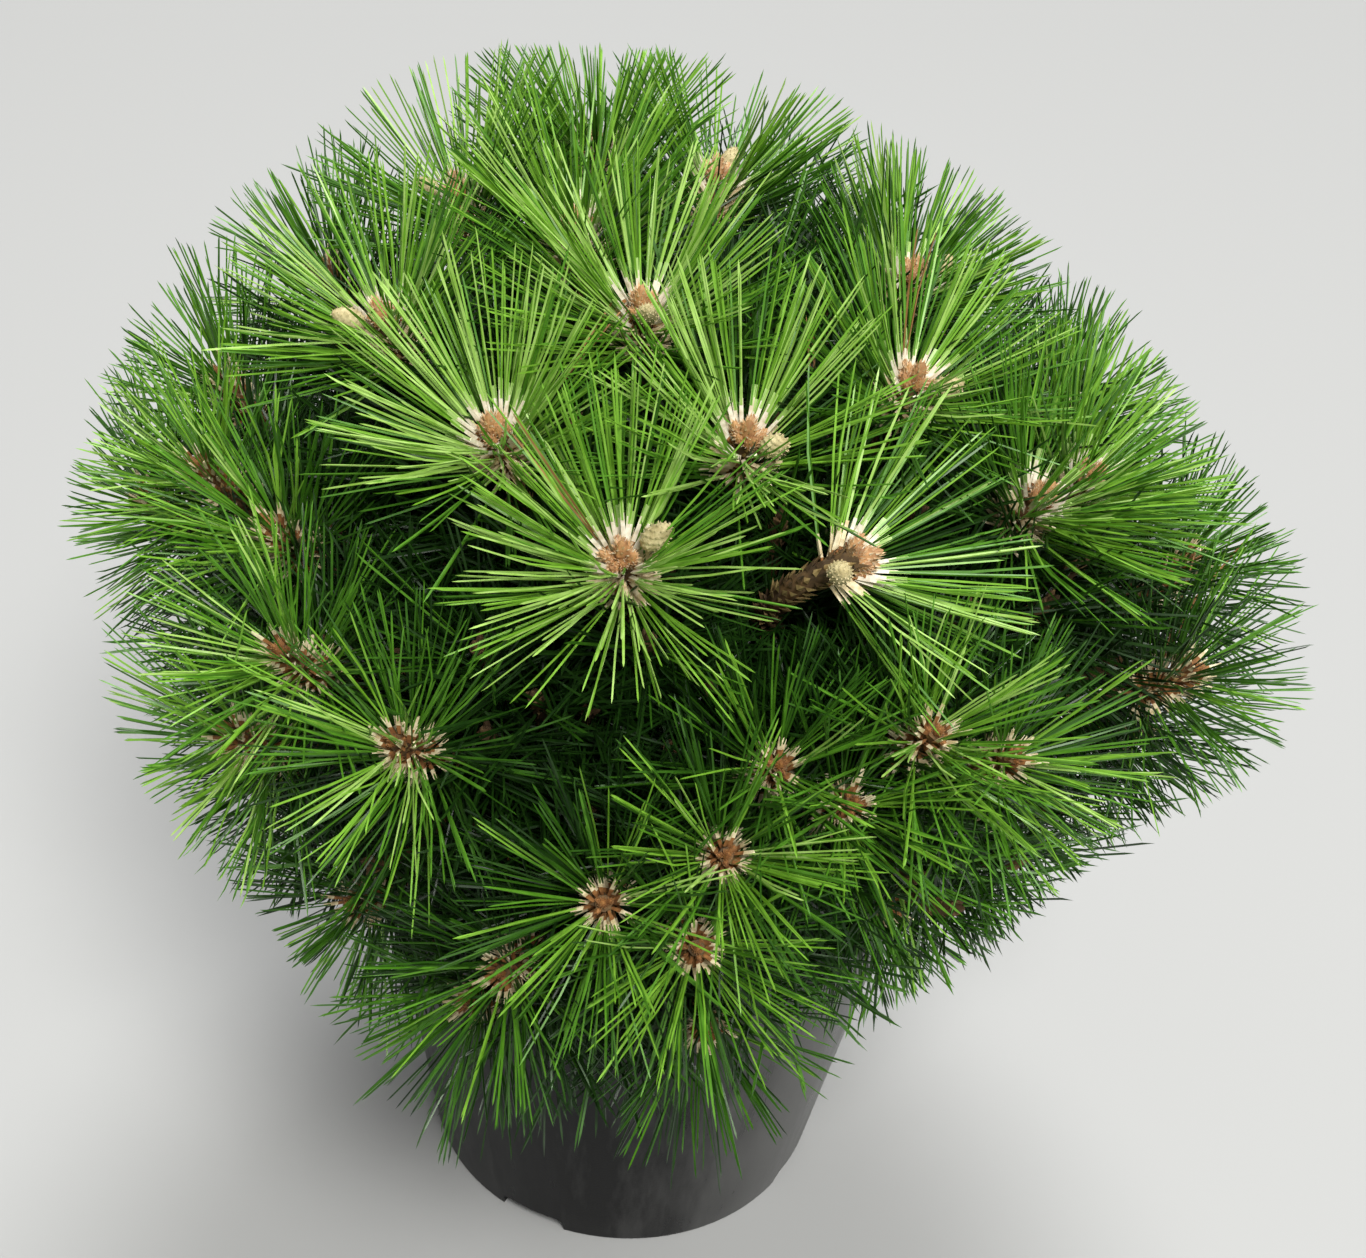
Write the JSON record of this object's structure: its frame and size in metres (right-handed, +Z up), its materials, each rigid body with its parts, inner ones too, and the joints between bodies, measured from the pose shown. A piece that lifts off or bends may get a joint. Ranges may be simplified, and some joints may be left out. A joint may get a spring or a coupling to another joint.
{
  "type": "potted dwarf austrian pine",
  "caption": "Compact rounded dwarf pine with long stiff needles, bud clusters and young cones, growing in a plain black nursery pot.",
  "frame": {"origin": "middle of the pot's flat underside", "axes": "+Z up along the trunk, -Y towards the front, where the lowest bright rosettes hang over the pot, +X to the right"},
  "size_m": [0.5628, 0.5629, 0.5911],
  "materials": {
    "pot_plastic": "matte black moulded plastic with soft grey highlights and a little dust",
    "potting_soil": "dark crumbly potting mix of bark chips and peat",
    "bark": "rough brown young bark with the scaly bases of shed needles",
    "foliage": "glossy fresh green needles, paler along the middle and at their sheaths"
  },
  "bodies": {
    "root": {"pot": "pot_plastic", "soil": "potting_soil", "trunk": "bark", "bough_01": "bark", "bough_02": "bark", "bough_03": "bark", "bough_04": "bark", "bough_05": "bark", "bough_06": "bark", "bough_07": "bark", "bough_08": "bark", "bough_09": "bark", "bough_10": "bark", "bough_11": "bark", "bough_12": "bark", "bough_13": "bark", "bough_14": "bark", "bough_15": "bark", "bough_16": "bark", "bough_17": "bark", "bough_18": "bark", "bough_19": "bark", "bough_20": "bark", "bough_21": "bark", "bough_22": "bark", "bough_23": "bark", "bough_24": "bark", "bough_25": "bark", "bough_26": "bark", "bough_27": "bark", "mass_00": "foliage", "mass_01": "foliage", "mass_02": "foliage", "mass_03": "foliage", "mass_04": "foliage", "mass_05": "foliage", "mass_06": "foliage", "mass_07": "foliage", "mass_08": "foliage", "mass_09": "foliage", "mass_10": "foliage", "mass_11": "foliage", "mass_12": "foliage", "mass_13": "foliage", "mass_14": "foliage", "mass_15": "foliage", "mass_16": "foliage", "mass_17": "foliage", "mass_18": "foliage", "mass_19": "foliage", "mass_20": "foliage", "mass_21": "foliage", "mass_22": "foliage", "mass_23": "foliage", "mass_24": "foliage", "mass_25": "foliage", "mass_26": "foliage", "mass_27": "foliage"}
  },
  "joints": []
}
